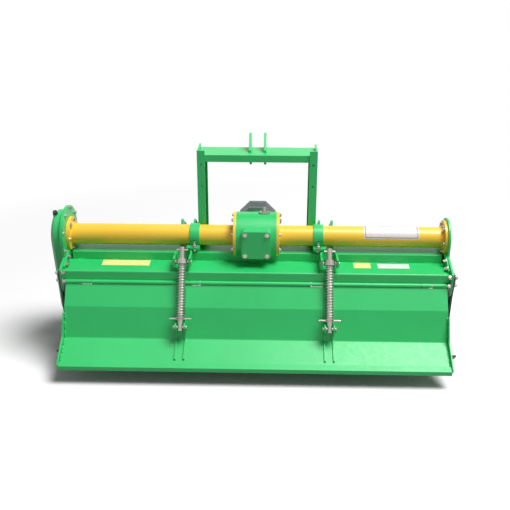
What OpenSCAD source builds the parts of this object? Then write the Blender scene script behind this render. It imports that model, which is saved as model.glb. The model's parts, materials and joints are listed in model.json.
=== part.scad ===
// Rear-mounted rotary tiller for a small tractor, 1.8 m working width.
// Built about the axis of its axle tubes: +X is to the right seen from behind,
// +Y is forward to the tractor and +Z is up. The whole machine is then set
// down on the floor, with its origin under the middle of its box.

/* [Overall] */
// Height of the axle tubes' axis above the floor
axle_h = 590; // [570:5:680]
// Width between the side plates
work_w = 1850; // [1700:10:2200]
// Thickness of the side plates
side_t = 10; // [6:1:16]
// Clearance between pieces that seat on each other
fit = 0.3; // [0.1:0.1:0.6]

/* [Axle tubes] */
// Outside diameter of the axle tubes
tube_d = 101.6; // [90:0.2:104]
// Wall of the axle tubes
tube_wall = 8; // [4:1:14]
// Radius of the flanges at the gearbox
inner_flange_r = 117; // [100:1:125]
// Radius of the flanges at the side plates
outer_flange_r = 85; // [70:1:92]
// Thickness of the flanges
flange_t = 14; // [8:1:20]

/* [Gearbox] */
// Width of the gearbox between the flanges
box_w = 196; // [170:2:240]
// Radius of the gearbox barrel
barrel_r = 116; // [100:1:122]
// Width and height of the rear boss
boss_w = 140; // [110:2:142]
// Corner radius of the rear boss and its cover
boss_corner = 16; // [6:1:30]
// Distance from the axis to the back of the rear cover
cover_back = 143; // [130:1:170]
// Thickness of the rear cover
cover_t = 12; // [6:1:20]
// Radius of the input neck
neck_r = 60; // [48:1:66]
// Distance from the axis to the front of the input neck
neck_len = 147; // [135:1:170]
// Radius of the flange on the input neck
neck_flange_r = 78; // [70:1:84]
// Place of the breather across the gearbox
breather_x = 38; // [0:1:50]
// Radius of the breather cap
breather_r = 11; // [7:1:16]

/* [Input shaft] */
// Diameter over the splines
spline_d = 34.9; // [30:0.1:40]
// Depth of the splines
spline_depth = 3; // [2:0.25:4]
// Number of splines
spline_n = 6; // [6:1:8]
// Length of the splined end
spline_len = 76; // [60:1:78]

/* [Input guard] */
// Width of the flat top of the guard
guard_top_w = 83; // [60:1:110]
// Full width of the guard
guard_w = 186; // [160:2:220]
// Height of the guard's top above the shaft
guard_top_z = 94; // [84:1:110]
// Depth of the guard's sides below the shaft
guard_drop = 48; // [20:1:80]
// Length of the guard
guard_len = 118; // [80:1:140]
// Thickness of the guard
guard_t = 3; // [2:0.5:5]

/* [Headstock] */
// Distance of the uprights inboard of the middles of the lower clevises
upright_in = 48.5; // [44:0.5:60]
// Depth of the upright channels, back to front
channel_d = 155; // [120:1:170]
// Width of the upright channels' flanges
channel_leg = 38; // [30:1:50]
// Thickness of the channels
channel_t = 8; // [5:1:10]
// Distance from the tube axis to the back of the uprights
channel_y = 58.3; // [58.3:0.1:70]
// Height of the uprights above the tube axis
upright_top = 411; // [360:1:480]
// Step from the top of the uprights down to the cross beam
beam_step = 23; // [10:1:50]
// Reach of the cross beam in front of the uprights
beam_over = 20; // [0:1:40]
// Depth of the cross beam's flanges
beam_leg = 35; // [25:1:50]
// Diameter of the holes in the uprights
upright_hole = 11; // [8:1:16]
// Height of the upper hole in an upright above the tube axis
hole_high = 342; // [300:1:350]
// Height of the lower hole in an upright above the tube axis
hole_low = 232; // [180:1:280]
// Gap between the two top link lugs
link_gap = 61.5; // [52:0.5:80]
// Thickness of the top link lugs
link_t = 12; // [8:1:16]
// Diameter of the top link pin hole
link_pin = 25.8; // [19:0.1:32]
// Radius of the round end of the lugs
link_r = 41; // [34:1:45]
// Height of the top link pin above the cross beam
link_rise = 40; // [30:1:60]
// Distance from the back of the cross beam to the top link pin
link_reach = 134; // [120:1:150]
// Distance from the back of the cross beam to the back of the lugs
link_inset = 52; // [30:1:80]
// Depth of the lugs' hooks below the top of the cross beam
link_hook = 90; // [70:1:110]

/* [Tube clamps] */
// Distance of the clamps inboard of the middles of the lower clevises
clamp_in = 39.5; // [35:0.5:45]
// Width of the clamps
clamp_w = 47; // [40:1:54]
// Thickness of the clamps
clamp_t = 6.5; // [4:0.5:6.5]
// Half the length of a clamp's foot on the box beam
clamp_pad = 46; // [40:1:50]
// Reach of the bolt lug behind a clamp
clamp_lug = 26; // [18:1:30]

/* [Lower hitch] */
// Distance between the middles of the two lower clevises
lower_spread = 683; // [680:1:760]
// Gap between the plates of one clevis
clevis_gap = 54; // [44:1:64]
// Thickness of the clevis plates
clevis_t = 9; // [6:1:12]
// Diameter of the lower pin holes
lower_pin = 22.4; // [19:0.1:29]
// Distance from the tube axis forward to the lower pins
lower_y = 160; // [140:1:190]
// Depth of the lower pins below the tube axis
lower_drop = 32; // [10:1:45]
// Radius of the clevis plates round the pin
lower_r = 38; // [30:1:44]
// Height of the clevis plates above the tube axis
lower_top = 61; // [50:1:70]
// Thickness of the foot plate under the headstock
foot_t = 8; // [5:1:12]

/* [Hood] */
// Thickness of the hood plate
deck_t = 5; // [3:0.5:8]
// Depth of the hood's top below the tube axis
deck_drop = 112; // [100:1:114]
// Distance from the tube axis to the front of the hood
deck_front = 225; // [215:5:260]
// Depth of the hood's front edge below its top
front_fold = 70; // [40:5:110]
// Distance from the tube axis to the back of the hood
deck_back = 183; // [170:1:200]
// Slope of the rear part of the hood
deck_slope = 5; // [0:0.5:8]
// Depth of the fold at the back of the hood
back_fold = 50.5; // [40:0.5:52]
// Height of the box beam along the hood
box_beam_h = 40; // [20:1:50]
// Distance from the tube axis to the back of the box beam
box_beam_back = 62; // [54:1:80]
// Distance from the tube axis to the front of the box beam
box_beam_front = 54; // [40:1:56]
// Thickness of the box beam's walls
box_beam_t = 5; // [3:0.5:8]
// Thickness of the end gussets of the hood
gusset_t = 8; // [4:1:12]
// Distance of the gussets' front corner ahead of the tube axis
gusset_front = 150; // [120:1:180]
// Depth of the gussets' top edge below the tube axis
gusset_top = 60; // [52:1:80]

/* [Rotor] */
// Depth of the rotor axis below the tube axis
rotor_drop = 354; // [350:1:372]
// Distance of the rotor axis in front of the tube axis
rotor_fwd = 15; // [0:1:30]
// Clearance between the tine tips and the hood
tine_gap = 12; // [8:1:30]
// Radius of the rotor tube
rotor_tube_r = 42; // [34:1:60]
// Radius of the rotor's stub shafts
stub_r = 22.5; // [16:0.5:28]
// Radius of the tine flanges
tine_flange_r = 88; // [74:1:110]
// Thickness of the tine flanges
tine_flange_t = 10; // [6:1:14]
// Distance from the side plates to the middle of the outermost tine flanges
tine_margin = 99; // [70:1:150]
// Thickness of a tine
tine_t = 8; // [5:0.5:10]
// Width of a tine's foot across the machine
tine_foot = 62; // [40:1:70]
// Width of a tine along its travel
tine_w = 62; // [45:1:75]
// Radius of a tine's curve
tine_curve = 400; // [300:10:600]
// Lead of a tine's root ahead of the radius through its tip
tine_lead = 35; // [10:1:45]
// Height of the centre of a tine's curve above the rotor axis
tine_rise = 40; // [20:1:60]
// Overlap of a tine on its flange
tine_lap = 34; // [24:1:44]
// Inside radius of a tine's bend
tine_bend = 16; // [10:1:24]
// Turn of each tine set against the one before
tine_step = 22; // [0:1:59]

/* [Gear case] */
// Radius of the gear case round the tube axis
case_top_r = 140; // [120:1:150]
// Radius of the gear case round the rotor axis
case_low_r = 95; // [85:1:110]
// Depth of the gear case cover outside the side plate
case_depth = 57; // [40:1:90]
// Width of the cover's rim
case_rim = 20; // [12:1:28]
// Thickness of the cover's rim
case_rim_t = 6; // [3:1:10]
// Width of the cover's slope round its outer face
case_slope = 16; // [8:1:24]
// Radius of the gear case breather
case_breather_r = 11; // [7:1:14]
// Distance of the gear case breather outside the side plate
case_breather_x = 43; // [20:1:46]
// Lean of the gear case breather to the back, in degrees
case_breather_lean = 20; // [0:1:40]

/* [Side plates] */
// Reach of the side plates behind the hood
plate_over = 32; // [10:1:40]
// Height of the side plates' back corners above the hood's back edge
plate_rise = 20; // [10:1:30]
// Depth of the side plates' back ends below the flap hinge
plate_below = 34; // [10:1:50]
// Radius of the right side plate round the tube axis
plate_top_r = 97; // [94:1:110]
// Radius of both side plates round the rotor axis
plate_low_r = 95; // [80:1:110]
// Radius of the rotor bearing's flange
bearing_flange_r = 62; // [50:1:75]
// Radius of the rotor bearing's cap
bearing_cap_r = 44; // [36:1:48]
// Depth of the rotor bearing outside the side plate
bearing_depth = 42; // [20:1:46]

/* [Skids] */
// Width of the skid soles
sole_w = 50; // [35:1:70]
// Thickness of the skid bars
skid_t = 10; // [6:1:12]
// Width of the skid straps
strap_w = 44; // [30:1:50]
// Length of the flat part of a skid sole
sole_len = 330; // [240:10:420]
// Turned-up rise at the ends of a sole
sole_rise = 45; // [20:5:80]

/* [Flap] */
// Distance of the flap hinge behind the hood
hinge_gap = 8.5; // [8:0.5:12]
// Depth of the flap hinge below the hood's back edge
hinge_drop = 53; // [52:0.5:60]
// Radius of the hinge rod
hinge_rod_r = 6; // [4:0.5:8]
// Radius of the rolled top edge and the hinge knuckles
roll_r = 10.5; // [9:0.5:12]
// Thickness of the flap plate
flap_t = 4; // [3:0.5:6]
// Clearance between the flap and each side plate
flap_gap = 7; // [5:0.5:15]
// Thickness of the flap's end plates
flap_end_t = 6; // [3:1:10]
// Length of the upper part of the flap
upper_len = 120; // [110:1:130]
// Length of the middle part of the flap
middle_len = 151; // [140:1:160]
// Length of the lower part of the flap
lower_len = 160; // [140:1:180]
// Slope of the upper part of the flap below level
upper_slope = 56.5; // [50:0.5:60]
// Slope of the middle part of the flap below level
middle_slope = 74; // [68:1:78]
// Slope of the lower part of the flap below level
lower_slope = 30; // [20:1:40]
// Inside radius of the flap's bends
bend_r = 12; // [4:1:25]
// Width of the strip along the flap's lower edge
lip_w = 28; // [16:1:40]
// Height of the lower edge strip's upright face
lip_h = 20; // [12:1:30]
// Thickness of the lower edge strip
lip_t = 6; // [3:1:8]
// Largest lift of the flap in degrees
flap_lift = 35; // [0:1:45]

/* [Levelling rods] */
// Distance of the levelling rods from the middle
rod_x = 351; // [340:1:420]
// Height of the trunnion above the hood's back edge
trunnion_up = 50; // [46:1:60]
// Distance of the trunnion in front of the hood's back edge
trunnion_in = 8; // [4:1:30]
// Diameter of the levelling rods
rod_d = 26; // [20:1:27]
// Length of rod above the trunnion
rod_above = 70; // [50:1:110]
// Length of rod below its clevis pin
rod_below = 18; // [16:1:26]
// Distance of the clevis pin behind the middle bend of the flap
clevis_off = 45; // [44:1:60]
// Distance of the clevis pin down the middle bend of the flap
clevis_down = 84; // [70:1:95]
// Radius of the clevis pin
clevis_pin_r = 8; // [5:0.5:9]
// Gap between the two lugs of a pair
lug_gap = 34; // [32:1:40]
// Thickness of the lugs
lug_t = 8; // [5:1:10]
// Height of the lugs' ribs above the flap
rib_h = 9; // [6:0.5:9.5]
// Radius of the lugs round the clevis pin
lug_r = 18; // [14:1:19]
// Space between the lugs' ends and the flap's edge strip
lug_end_gap = 18; // [5:1:60]
// Outside diameter of the springs
spring_d = 39; // [34:1:40]
// Diameter of the spring wire
wire_d = 5; // [3:0.5:5.5]
// Number of turns in a spring
spring_turns = 20; // [12:1:24]
// Place of the spring's lower seat along the rod from the trunnion
spring_low = 262; // [240:1:266]
// Length of the cross pin under the spring
cross_len = 104; // [70:1:110]
// Radius of the cross pins
cross_r = 5; // [3:0.5:6]
// Thickness of the washers
washer_t = 5; // [3:0.5:6]
// Clearance round the rod in the trunnion
rod_play = 1.6; // [1.4:0.1:2]
// Thickness of the trunnion along the rod
trunnion_t = 22; // [20:1:26]
// Radius of the trunnion
trunnion_r = 27; // [24:0.5:30]
// Radius of the trunnion pins
trunnion_pin_r = 8; // [6:0.5:9]
// Inside width of the yoke
yoke_gap = 64; // [60:1:72]
// Thickness of the yoke's bar
yoke_t = 10; // [6:1:12]
// Height of the yoke's bar
yoke_h = 42; // [32:1:46]
// Distance from the trunnion to the middle of the yoke's round end
yoke_len = 70; // [60:1:74]

/* [Hidden] */
$fn = 64;

tube_r = tube_d / 2;
half_w = work_w / 2;
out_x = half_w + side_t;
box_x = box_w / 2;
seat_z = box_beam_h - deck_drop;
clamp_r = tube_r + fit + clamp_t;
tube_axis = [0, 0];
rotor_axis = [rotor_fwd, -rotor_drop];
tine_r = rotor_drop - deck_drop - deck_t - tine_gap;
tine_sets = 8;
tine_pitch = (work_w - 2 * tine_margin) / (tine_sets - 1);
deck_back_z = -deck_drop - (deck_back - box_beam_back) * tan(deck_slope);

// Places along the headstock
lower_x = lower_spread / 2;
web_x = lower_x - upright_in;
channel_front = channel_y + channel_d;
beam_top = upright_top - beam_step;
beam_back = channel_y + channel_t + fit;
beam_front = channel_front + beam_over;
link_pos = [beam_back + link_reach, beam_top + link_rise];
foot_z = foot_t - deck_drop;
clamp_x = lower_x - clamp_in;
lower_pos = [lower_y, -lower_drop];
clevis_half = clevis_gap / 2 + clevis_t;

// Places down the flap
flap_w = work_w - 2 * flap_gap;
hinge = [-deck_back - hinge_gap, deck_back_z - hinge_drop];
function down(a) = [-cos(a), -sin(a)];
function out(a) = [-sin(a), cos(a)];
bend_1 = hinge + upper_len * down(upper_slope);
bend_2 = bend_1 + middle_len * down(middle_slope);
flap_tip = bend_2 + lower_len * down(lower_slope);
knuckle_len = 50;
knuckle_gap = 3;
knuckle_play = 1.5;
knuckles = [-0.92, -0.33, 0.33, 0.92] * (half_w - 40);
roll_end = half_w - 10;

// Places along the levelling rods
trunnion = [-deck_back + trunnion_in, deck_back_z + trunnion_up];
clevis = bend_1 + clevis_down * down(middle_slope) + clevis_off * out(middle_slope);
rod_len = norm(clevis - trunnion);
rod_dir = (clevis - trunnion) / rod_len;
rod_turn = atan2(-rod_dir[0], rod_dir[1]);
half_trunnion = trunnion_t / 2;

// Box of the whole machine
skid_out = out_x + sole_w;
case_out = out_x + case_depth;
case_boss_r = case_top_r - case_rim + 3;
lip_back = flap_tip[0] - lip_t;
guard_front = neck_len + guard_len;
mid_x = (skid_out - case_out) / 2;
mid_y = (guard_front + lip_back) / 2;

green = "mediumseagreen";
yellow = "gold";
steel = "silver";
black = "dimgray";

// Sets the machine down on the floor
module placed() {
    translate([-mid_x, -mid_y, axle_h]) children();
}

// Extrudes an outline drawn as (forward, up) from x0 to x1
module side_plate(x0, x1) {
    translate([x0, 0, 0]) rotate([90, 0, 90]) linear_extrude(x1 - x0) children();
}

// Round bar across the machine at a point (forward, up)
module cross_bar(at, x0, x1, r) {
    translate([x0, at[0], at[1]]) rotate([0, 90, 0]) cylinder(h = x1 - x0, r = r);
}

// Round bar along the machine from y0 to y1
module fore_bar(x, z, y0, y1, r) {
    translate([x, y1, z]) rotate([90, 0, 0]) cylinder(h = y1 - y0, r = r);
}

// Box between two corners
module block(a, b) {
    translate(a) cube(b - a);
}

function arc(c, r, a0, a1, n) = [for (i = [0:n]) c + r * [cos(a0 + (a1 - a0) * i / n), sin(a0 + (a1 - a0) * i / n)]];

// Outline of a belt round two circles
function belt(c1, r1, c2, r2, n = 20) =
    let (d = c2 - c1, base = atan2(d[1], d[0]), t = acos((r1 - r2) / norm(d)))
    concat(arc(c1, r1, base + t, base + 360 - t, n), arc(c2, r2, base - t, base + t, n));

function unit(v) = v / norm(v);
function left_of(a, b) = let (d = unit(b - a)) [-d[1], d[0]];

// Corner b of a line a, b, c rounded to radius r
function corner(a, b, c, r, n) =
    let (u = unit(a - b), v = unit(c - b), half = acos(u * v) / 2,
        mid = b + unit(u + v) * r / sin(half),
        p0 = b + u * r / tan(half) - mid, p1 = b + v * r / tan(half) - mid,
        a0 = atan2(p0[1], p0[0]), d = atan2(p1[1], p1[0]) - a0,
        sweep = d > 180 ? d - 360 : d < -180 ? d + 360 : d)
    arc(mid, r, a0, a0 + sweep, n);

// Line with its corners rounded
function bent(p, r, n = 4) = concat([p[0]],
    [for (i = [1:len(p) - 2]) each corner(p[i - 1], p[i], p[i + 1], r, n)], [p[len(p) - 1]]);

// Point i of a line moved by t to its left
function moved(p, i, t) =
    let (n = len(p), a = left_of(p[max(i - 1, 0)], p[max(i, 1)]),
        b = left_of(p[min(i, n - 2)], p[min(i + 1, n - 1)]))
    p[i] + (a + b) * t / (1 + a * b);

// Outline of a sheet of thickness t to the left of a line
function sheet(p, t) = concat(p, [for (i = [len(p) - 1:-1:0]) moved(p, i, t)]);

// Places children at a point of a levelling rod, with +Z down the rod
module on_rod(side, s = 0) {
    translate([side * rod_x, trunnion[0], trunnion[1]]) rotate([rod_turn, 0, 0])
        translate([0, 0, s]) children();
}

// Gearbox

module rounded_square(w, r) {
    offset(r) square(w - 2 * r, center = true);
}

module gearbox_housing() {
    boss_front = cover_t - cover_back;
    placed() color(green) difference() {
        union() {
            cross_bar(tube_axis, -box_x, box_x, barrel_r);
            cross_bar(tube_axis, -box_x, flange_t - box_x, inner_flange_r);
            cross_bar(tube_axis, box_x - flange_t, box_x, inner_flange_r);
            translate([0, boss_front, 0]) rotate([-90, 0, 0])
                linear_extrude(cover_back) rounded_square(boss_w, boss_corner);
            fore_bar(0, 0, 0, neck_len, neck_r);
            fore_bar(0, 0, neck_len - flange_t, neck_len, neck_flange_r);
            translate([breather_x, 0, 0]) linear_extrude(barrel_r + 3) oval(56, 36);
        }
        block([-box_x - 1, -cover_back, seat_z - barrel_r], [box_x + 1, neck_len + 1, seat_z]);
        fore_bar(0, 0, neck_len - 60, neck_len + 1, spline_d / 2 + 4);
    }
}

module oval(l, w) {
    hull() {
        for (side = [-1, 1]) translate([side * (l - w) / 2, 0]) circle(w / 2);
    }
}

module gearbox_rear_cover() {
    placed() color(green) translate([0, -cover_back, 0]) rotate([-90, 0, 0])
        linear_extrude(cover_t) rounded_square(boss_w, boss_corner);
}

module gearbox_breather() {
    placed() color(steel) translate([breather_x, 0, barrel_r + 3]) {
        linear_extrude(5) oval(56, 36);
        cylinder(h = 12, r = breather_r, $fn = 6);
        cylinder(h = 26, r = breather_r * 0.8);
    }
}

module input_guard() {
    w = guard_w / 2;
    top = guard_top_w / 2;
    line = [[-w, -guard_drop], [-w, guard_top_z - w + top], [-top, guard_top_z],
        [top, guard_top_z], [w, guard_top_z - w + top], [w, -guard_drop]];
    back = neck_len;
    placed() color(black) {
        translate([0, guard_front, 0]) rotate([90, 0, 0]) linear_extrude(guard_len)
            polygon(sheet(line, -guard_t));
        difference() {
            translate([0, back + guard_t, 0]) rotate([90, 0, 0]) linear_extrude(guard_t) polygon(line);
            fore_bar(0, 0, back - 1, back + guard_t + 1, spline_d / 2 + 8);
        }
    }
}

module input_shaft() {
    end = neck_len + spline_len + 12;
    placed() color(steel) difference() {
        union() {
            fore_bar(0, 0, neck_len - 59, end - spline_len - 4, spline_d / 2 + 3.5);
            fore_bar(0, 0, neck_len - 40, end, spline_d / 2);
        }
        for (i = [1:spline_n]) translate([0, end + 1, 0]) rotate([90, i * 360 / spline_n, 0])
            translate([spline_d / 2 - spline_depth, -3, 0]) cube([spline_depth + 1, 6, spline_len + 1]);
    }
}

// Axle tubes

module axle_tube(side) {
    x0 = box_x;
    x1 = half_w;
    placed() color(yellow) mirror([side < 0 ? 1 : 0, 0, 0]) difference() {
        union() {
            cross_bar(tube_axis, x0, x1, tube_r);
            cross_bar(tube_axis, x0, x0 + flange_t, inner_flange_r);
            cross_bar(tube_axis, x1 - flange_t, x1, outer_flange_r);
        }
        cross_bar(tube_axis, x0 - 1, x1 + 1, tube_r - tube_wall);
        block([x0 - 1, -inner_flange_r, seat_z - inner_flange_r], [x0 + flange_t + 1, inner_flange_r, seat_z]);
    }
}

module axle_tube_left() { axle_tube(-1); }

module axle_tube_right() { axle_tube(1); }

// Hood

module hood_deck() {
    line = [[deck_front, -deck_drop - front_fold], [deck_front, -deck_drop],
        [-box_beam_back, -deck_drop], [-deck_back, deck_back_z], [-deck_back, deck_back_z - back_fold + 5]];
    placed() color(green) difference() {
        union() {
            side_plate(-half_w, half_w) polygon(sheet(bent(line, 8), deck_t));
            for (x = knuckles) {
                block([x - knuckle_len / 2, -deck_back, hinge[1]],
                    [x + knuckle_len / 2, deck_t - deck_back, deck_back_z - back_fold + 6]);
                cross_bar(hinge, x - knuckle_len / 2, x + knuckle_len / 2, roll_r);
            }
        }
        cross_bar(hinge, -half_w - 1, half_w + 1, hinge_rod_r + fit);
    }
}

module hood_beam() {
    x = half_w - flange_t - 6;
    placed() color(green) difference() {
        block([-x, -box_beam_back, -deck_drop], [x, box_beam_front, seat_z]);
        block([-x - 1, box_beam_t - box_beam_back, -deck_drop - 1],
            [x + 1, box_beam_front - box_beam_t, seat_z - box_beam_t]);
    }
}

module hood_end(side) {
    x = half_w - gusset_t;
    inset = 12;
    back = inset - deck_back;
    low = deck_back_z + inset * tan(deck_slope);
    toe = 14;
    heel = 16;
    placed() color(green) mirror([side < 0 ? 1 : 0, 0, 0]) side_plate(x, half_w) difference() {
        polygon([[back, low], [-box_beam_back, -deck_drop], [deck_front - 30, -deck_drop],
            [gusset_front, -deck_drop + toe], [outer_flange_r * 0.9, -gusset_top],
            [-outer_flange_r * 0.9, -gusset_top], [back, low + heel]]);
        circle(outer_flange_r + 2);
    }
}

module hood_end_left() { hood_end(-1); }

module hood_end_right() { hood_end(1); }

module flap_hinge_rod() {
    placed() color(steel) cross_bar(hinge, -roll_end - 4, roll_end + 4, hinge_rod_r);
}

// Sides

// Side plate from x0 to x1: a belt from the tube to the rotor, and wings over the hood's ends
module side_panel(x0, x1, top_r) {
    back = deck_back + plate_over;
    r = 14;
    side_plate(x0, x1) polygon(belt(tube_axis, top_r, rotor_axis, plate_low_r));
    side_plate(x0, x1) polygon(concat(arc([r - back, deck_back_z + plate_rise - r], r, 180, 130, 3),
        [[-outer_flange_r, -deck_drop + 50]],
        arc([deck_front - r, -deck_drop + 4], r, 90, 0, 4),
        [[deck_front, -deck_drop - front_fold], [rotor_fwd + plate_low_r - 2, -rotor_drop],
        [rotor_fwd - plate_low_r + 2, -rotor_drop], [r - back, hinge[1] - plate_below]]));
}

module gear_case_plate() {
    placed() color(green) difference() {
        union() side_panel(-out_x, -half_w, case_top_r);
        cross_bar(rotor_axis, -out_x - 1, 1 - half_w, stub_r + fit);
    }
}

module gear_case_cover() {
    dome_x = out_x + case_rim_t;
    top_r = case_top_r - case_rim;
    low_r = case_low_r - case_rim;
    placed() color(green) {
        side_plate(-dome_x, -out_x) polygon(belt(tube_axis, case_top_r, rotor_axis, case_low_r));
        hull() {
            side_plate(case_slope - case_out, -dome_x) polygon(belt(tube_axis, top_r, rotor_axis, low_r));
            side_plate(-case_out, 1 - case_out)
                polygon(belt(tube_axis, top_r - case_slope, rotor_axis, low_r - case_slope));
        }
        on_case(top_r - case_slope - 4) cylinder(h = case_boss_r - top_r + case_slope + 4, r = case_breather_r + 2);
    }
}

// Places children on the gear case's breather line, s from the tube axis
module on_case(s) {
    translate([-out_x - case_breather_x, 0, 0]) rotate([case_breather_lean, 0, 0])
        translate([0, 0, s]) children();
}

module gear_case_breather() {
    placed() color(black) on_case(case_boss_r) {
        cylinder(h = 5, r = case_breather_r + 2, $fn = 6);
        cylinder(h = 15, r = case_breather_r);
    }
}

module side_plate_right() {
    placed() color(green) difference() {
        union() side_panel(half_w, out_x, plate_top_r);
        cross_bar(rotor_axis, half_w - 1, out_x + 1, stub_r + fit);
    }
}

module rotor_bearing() {
    flange_x = out_x + 12;
    placed() color(green) difference() {
        union() {
            cross_bar(rotor_axis, out_x, flange_x, bearing_flange_r);
            cross_bar(rotor_axis, out_x, out_x + bearing_depth, bearing_cap_r);
        }
        cross_bar(rotor_axis, out_x - 1, out_x + bearing_depth - 8, stub_r + fit);
    }
}

// Headstock

module headstock(side) {
    placed() color(green) mirror([side < 0 ? 1 : 0, 0, 0]) difference() {
        block([web_x - channel_leg, channel_y, foot_z], [web_x, channel_front, upright_top]);
        block([web_x - channel_leg - 1, channel_y + channel_t, foot_z - 1],
            [web_x - channel_t, channel_front - channel_t, upright_top + 1]);
        block([web_x - channel_leg - 1, channel_y + channel_t, beam_top - beam_leg - fit],
            [web_x - channel_t, channel_front + 1, upright_top + 1]);
        for (z = [hole_high, hole_low])
            fore_bar(web_x - channel_leg / 2, z, channel_y - 1, channel_y + channel_t + 1, upright_hole / 2);
    }
}

module headstock_left() { headstock(-1); }

module headstock_right() { headstock(1); }

module headstock_beam() {
    x = web_x - channel_t - fit;
    placed() color(green) difference() {
        block([-x, beam_back, beam_top - beam_leg], [x, beam_front, beam_top]);
        block([-x - 1, beam_back + channel_t, beam_top - beam_leg - 1],
            [x + 1, beam_front - channel_t, beam_top - channel_t]);
    }
}

module top_link_lugs() {
    seat = beam_front + fit;
    base = beam_top + fit;
    back = beam_back + link_inset;
    low = beam_top - link_hook;
    placed() color(green) for (side = [-1, 1]) {
        x = side > 0 ? link_gap / 2 : -link_gap / 2 - link_t;
        difference() {
            side_plate(x, x + link_t) union() {
                polygon([[back, base], [seat, base], [seat, low], [seat + 2 * link_t, low],
                    [seat + 2 * link_t, base], link_pos + [link_r, 0],
                    link_pos + [-link_r * 0.8, link_r * 0.6], [back, base + link_t]]);
                translate(link_pos) circle(link_r);
            }
            block([x - 1, 0, low - 1], [x + link_t + 1, seat, base]);
            cross_bar(link_pos, x - 1, x + link_t + 1, link_pin / 2);
        }
    }
}

module tube_clamp(side) {
    x0 = clamp_x - clamp_w / 2;
    x1 = clamp_x + clamp_w / 2;
    placed() color(green) mirror([side < 0 ? 1 : 0, 0, 0]) difference() {
        union() {
            cross_bar(tube_axis, x0, x1, clamp_r);
            block([x0, -clamp_pad, seat_z], [x1, clamp_pad, 0]);
            block([x0, -clamp_r - clamp_lug, -tube_r + 4], [x1 + 14, -30, -tube_r + 14]);
        }
        cross_bar(tube_axis, x0 - 1, x1 + 20, tube_r + fit);
    }
}

module tube_clamp_left() { tube_clamp(-1); }

module tube_clamp_right() { tube_clamp(1); }

module lower_hitch(side) {
    in_x = lower_x - clevis_half;
    out = lower_x + clevis_half;
    plates = [in_x, out - clevis_t];
    foot_back = box_beam_front + fit;
    placed() color(green) mirror([side < 0 ? 1 : 0, 0, 0]) {
        block([web_x - channel_leg - 6, foot_back, -deck_drop], [out, deck_front - 10, foot_z]);
        for (x = plates) difference() {
            side_plate(x, x + clevis_t) {
                polygon([[-box_beam_back + 6, seat_z], [foot_back, seat_z], [foot_back, foot_z - 1],
                    [lower_pos[0] + lower_r - 8, foot_z - 1], [lower_pos[0] + lower_r, lower_pos[1]],
                    lower_pos + [-5, lower_r], [channel_y + 6, lower_top], [channel_y - 14, lower_top],
                    [0, -40], [-box_beam_back + 6, seat_z + 10]]);
                translate(lower_pos) circle(lower_r);
            }
            cross_bar(tube_axis, x - 1, x + clevis_t + 1, tube_r + fit);
            cross_bar(lower_pos, x - 1, x + clevis_t + 1, lower_pin / 2);
            if (x == in_x) {
                cross_bar(tube_axis, x - 1, x + clevis_t + 1, clamp_r + fit);
                block([x - 1, -clamp_r, seat_z - 1], [x + clevis_t + 1, clamp_pad + fit, 0]);
            }
        }
    }
}

module lower_hitch_left() { lower_hitch(-1); }

module lower_hitch_right() { lower_hitch(1); }

// Skids

module skid(side) {
    sole_z = -axle_h;
    half = sole_len / 2;
    line = [[-half - 50, sole_z + sole_rise], [-half, sole_z], [half, sole_z], [half + 50, sole_z + sole_rise]];
    rear = [[-half + 20, sole_z + 4], [-half + 24, -rotor_drop - 60], [-deck_back + 22, deck_back_z - 116],
        [-deck_back - 8, deck_back_z + 2]];
    front = [[half - 20, sole_z + 4], [half - 24, -rotor_drop - 60], [half + 4, -deck_drop - front_fold + 24]];
    placed() color(black) mirror([side < 0 ? 1 : 0, 0, 0]) {
        side_plate(out_x, out_x + sole_w) polygon(sheet(bent(line, 40), skid_t));
        for (p = [rear, front]) side_plate(out_x, out_x + skid_t)
            polygon(strap(bent(p, 60)));
    }
}

// Outline of a strap centred on a line
function strap(p) = concat([for (i = [0:len(p) - 1]) moved(p, i, strap_w / 2)],
    [for (i = [len(p) - 1:-1:0]) moved(p, i, -strap_w / 2)]);

module skid_left() { skid(-1); }

module skid_right() { skid(1); }

// Rotor

// Six blades, each turned left or right in turn, on one flange
module tine_set(i) {
    x = (i - (tine_sets + 1) / 2) * tine_pitch;
    placed() color(green) translate([x, rotor_axis[0], rotor_axis[1]]) rotate([i * tine_step, 0, 0]) {
        difference() {
            cross_bar([0, 0], -tine_flange_t / 2, tine_flange_t / 2, tine_flange_r);
            cross_bar([0, 0], -tine_flange_t, tine_flange_t, rotor_tube_r + fit);
        }
        for (k = [0:5]) rotate([k * 60, 0, 0]) mirror([k % 2, 0, 0]) tine();
    }
}

// One blade: an angle bar seen from the front, cut to a curved outline seen from the side
module tine() {
    x0 = tine_flange_t / 2 - 1;
    foot = tine_foot;
    root = tine_flange_r - tine_lap;
    tip = tine_r - 2;
    centre = [tine_lead - tine_curve, tine_rise];
    intersection() {
        rotate([90, 0, 0]) translate([0, 0, -2 * tine_w]) linear_extrude(4 * tine_w)
            polygon(sheet(bent([[x0, root], [x0, tip], [x0 + foot, tip]], tine_bend, 6), -tine_t));
        side_plate(-1, x0 + foot + 1) intersection() {
            polygon(concat(arc(centre, tine_curve + tine_w / 2, 0, 32, 8),
                arc(centre, tine_curve - tine_w / 2, 32, 0, 8)));
            circle(tine_r, $fn = 96);
        }
    }
}

module rotor_tube() {
    x = half_w - 18;
    placed() color(black) {
        cross_bar(rotor_axis, -x, x, rotor_tube_r);
        cross_bar(rotor_axis, 5 - half_w, half_w - 5, stub_r + 9);
        cross_bar(rotor_axis, -out_x + fit, out_x + bearing_depth - 8 - fit, stub_r);
    }
}

module tine_set_1() { tine_set(1); }

module tine_set_2() { tine_set(2); }

module tine_set_3() { tine_set(3); }

module tine_set_4() { tine_set(4); }

module tine_set_5() { tine_set(5); }

module tine_set_6() { tine_set(6); }

module tine_set_7() { tine_set(7); }

module tine_set_8() { tine_set(8); }

// Flap

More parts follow.
